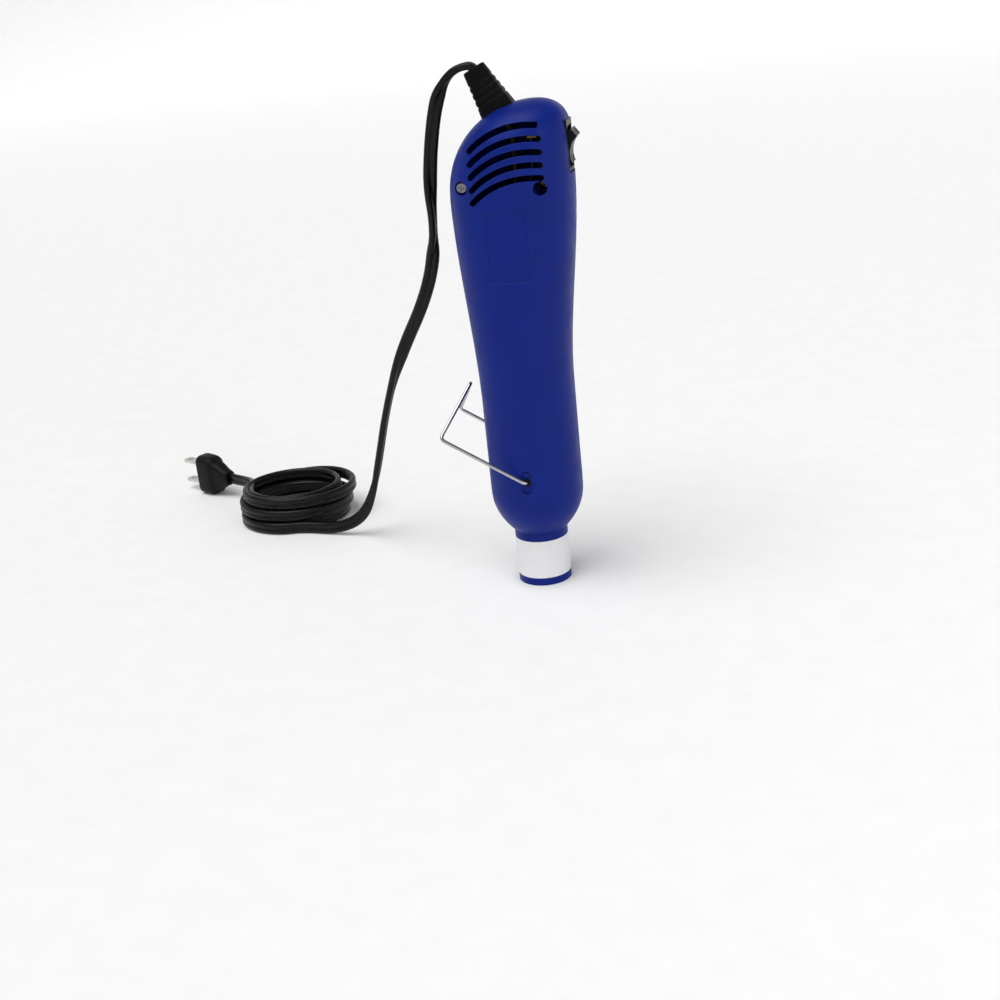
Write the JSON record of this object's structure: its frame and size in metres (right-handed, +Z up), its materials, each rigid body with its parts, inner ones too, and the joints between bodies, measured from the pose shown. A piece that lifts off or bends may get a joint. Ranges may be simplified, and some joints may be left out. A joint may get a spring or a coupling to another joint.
{
  "type": "craft heat tool",
  "caption": "Hand-held hot-air craft tool with a slim rounded body, narrow nose, side vents, rocker switch, folding wire stand and a wound flat mains cord.",
  "frame": {"origin": "centre of the flat end face of the nose, on the nozzle axis; the tool stands on it", "axes": "+Z up the nozzle axis to the cord end, +X to the switch side, -X to the wire stand and the cord, -Y to the side with the screw heads"},
  "size_m": [0.2916, 0.1792, 0.2634],
  "materials": {
    "blue_plastic": "fine satin moulded plastic",
    "blue_plastic_nose": "satin moulded plastic",
    "steel_zinc": "zinc plated",
    "white_label": "satin film",
    "stainless": "drawn stainless steel",
    "mica": "pressed mica sheet",
    "resistance_wire": "oxidised wire",
    "ceramic": "fired ceramic",
    "fuse_metal": "satin",
    "black_nylon": "glass-filled nylon",
    "motor_steel": "nickel plated steel",
    "ferrite": "sintered",
    "copper_wire": "enamelled copper",
    "bronze": "sintered bronze",
    "cream_nylon": "nylon",
    "brass": "stamped brass",
    "circuit_board": "phenolic board",
    "black_epoxy": "moulded epoxy",
    "capacitor_blue": "dipped",
    "black_switch": "satin black nylon",
    "black_rubber": "soft vinyl",
    "cord_jacket": "semi-gloss vinyl",
    "lead_black": "vinyl",
    "lead_white": "vinyl",
    "lead_glass": "glass-fibre sleeving",
    "chromed_wire": "bright plated wire",
    "plug_plastic": "moulded vinyl",
    "blade_nickel": "nickel plated brass"
  },
  "bodies": {
    "tool": {"housing_left": "blue_plastic", "housing_right": "blue_plastic", "housing_screws": "steel_zinc", "nose_guard": "blue_plastic_nose", "nose_label": "white_label", "nozzle_tube": "stainless", "outlet_grille": "stainless", "mica_sleeve": "mica", "element_former": "mica", "heating_coil": "resistance_wire", "element_holder": "ceramic", "thermal_fuse": "fuse_metal", "air_duct": "black_nylon", "motor_mount": "black_nylon", "motor_can": "motor_steel", "motor_magnets": "ferrite", "motor_brushes": "copper_wire", "motor_bushes": "bronze", "motor_end_cap": "cream_nylon", "motor_terminals": "brass", "rectifier_board": "circuit_board", "diodes": "black_epoxy", "suppressor_capacitor": "capacitor_blue", "switch_body": "black_switch", "switch_terminals": "brass", "strain_relief": "black_rubber", "cord_inside": "cord_jacket", "cord_clamp": "black_nylon", "clamp_screws": "steel_zinc", "lead_line": "lead_black", "lead_switched": "lead_black", "lead_neutral": "lead_white", "heater_leads": "lead_glass", "stand_bushes": "black_nylon", "cord_lead": "cord_jacket", "cord_coil": "cord_jacket", "cord_tail": "cord_jacket", "plug_body": "plug_plastic", "plug_blades": "blade_nickel"},
    "rotor": {"fan_impeller": "black_nylon", "motor_shaft": "stainless", "rotor_core": "motor_steel", "rotor_windings": "copper_wire", "commutator": "copper_wire"},
    "stand": {"wire_stand": "chromed_wire"},
    "rocker": {"switch_rocker": "black_switch"}
  },
  "joints": [
    {"name": "fan_spin", "type": "hinge", "parent": "tool", "child": "rotor", "pos_m": [0, 0, 0.14], "axis": [0, 0, 1], "continuous": true},
    {"name": "stand_fold", "type": "hinge", "parent": "tool", "child": "stand", "pos_m": [-0.0008, 0, 0.0594], "axis": [0, 1, 0], "range_deg": [-121, 3]},
    {"name": "switch_rock", "type": "hinge", "parent": "tool", "child": "rocker", "pos_m": [0.0279, 0, 0.2163], "axis": [0, 1, 0], "range_deg": [-28, 0]}
  ]
}
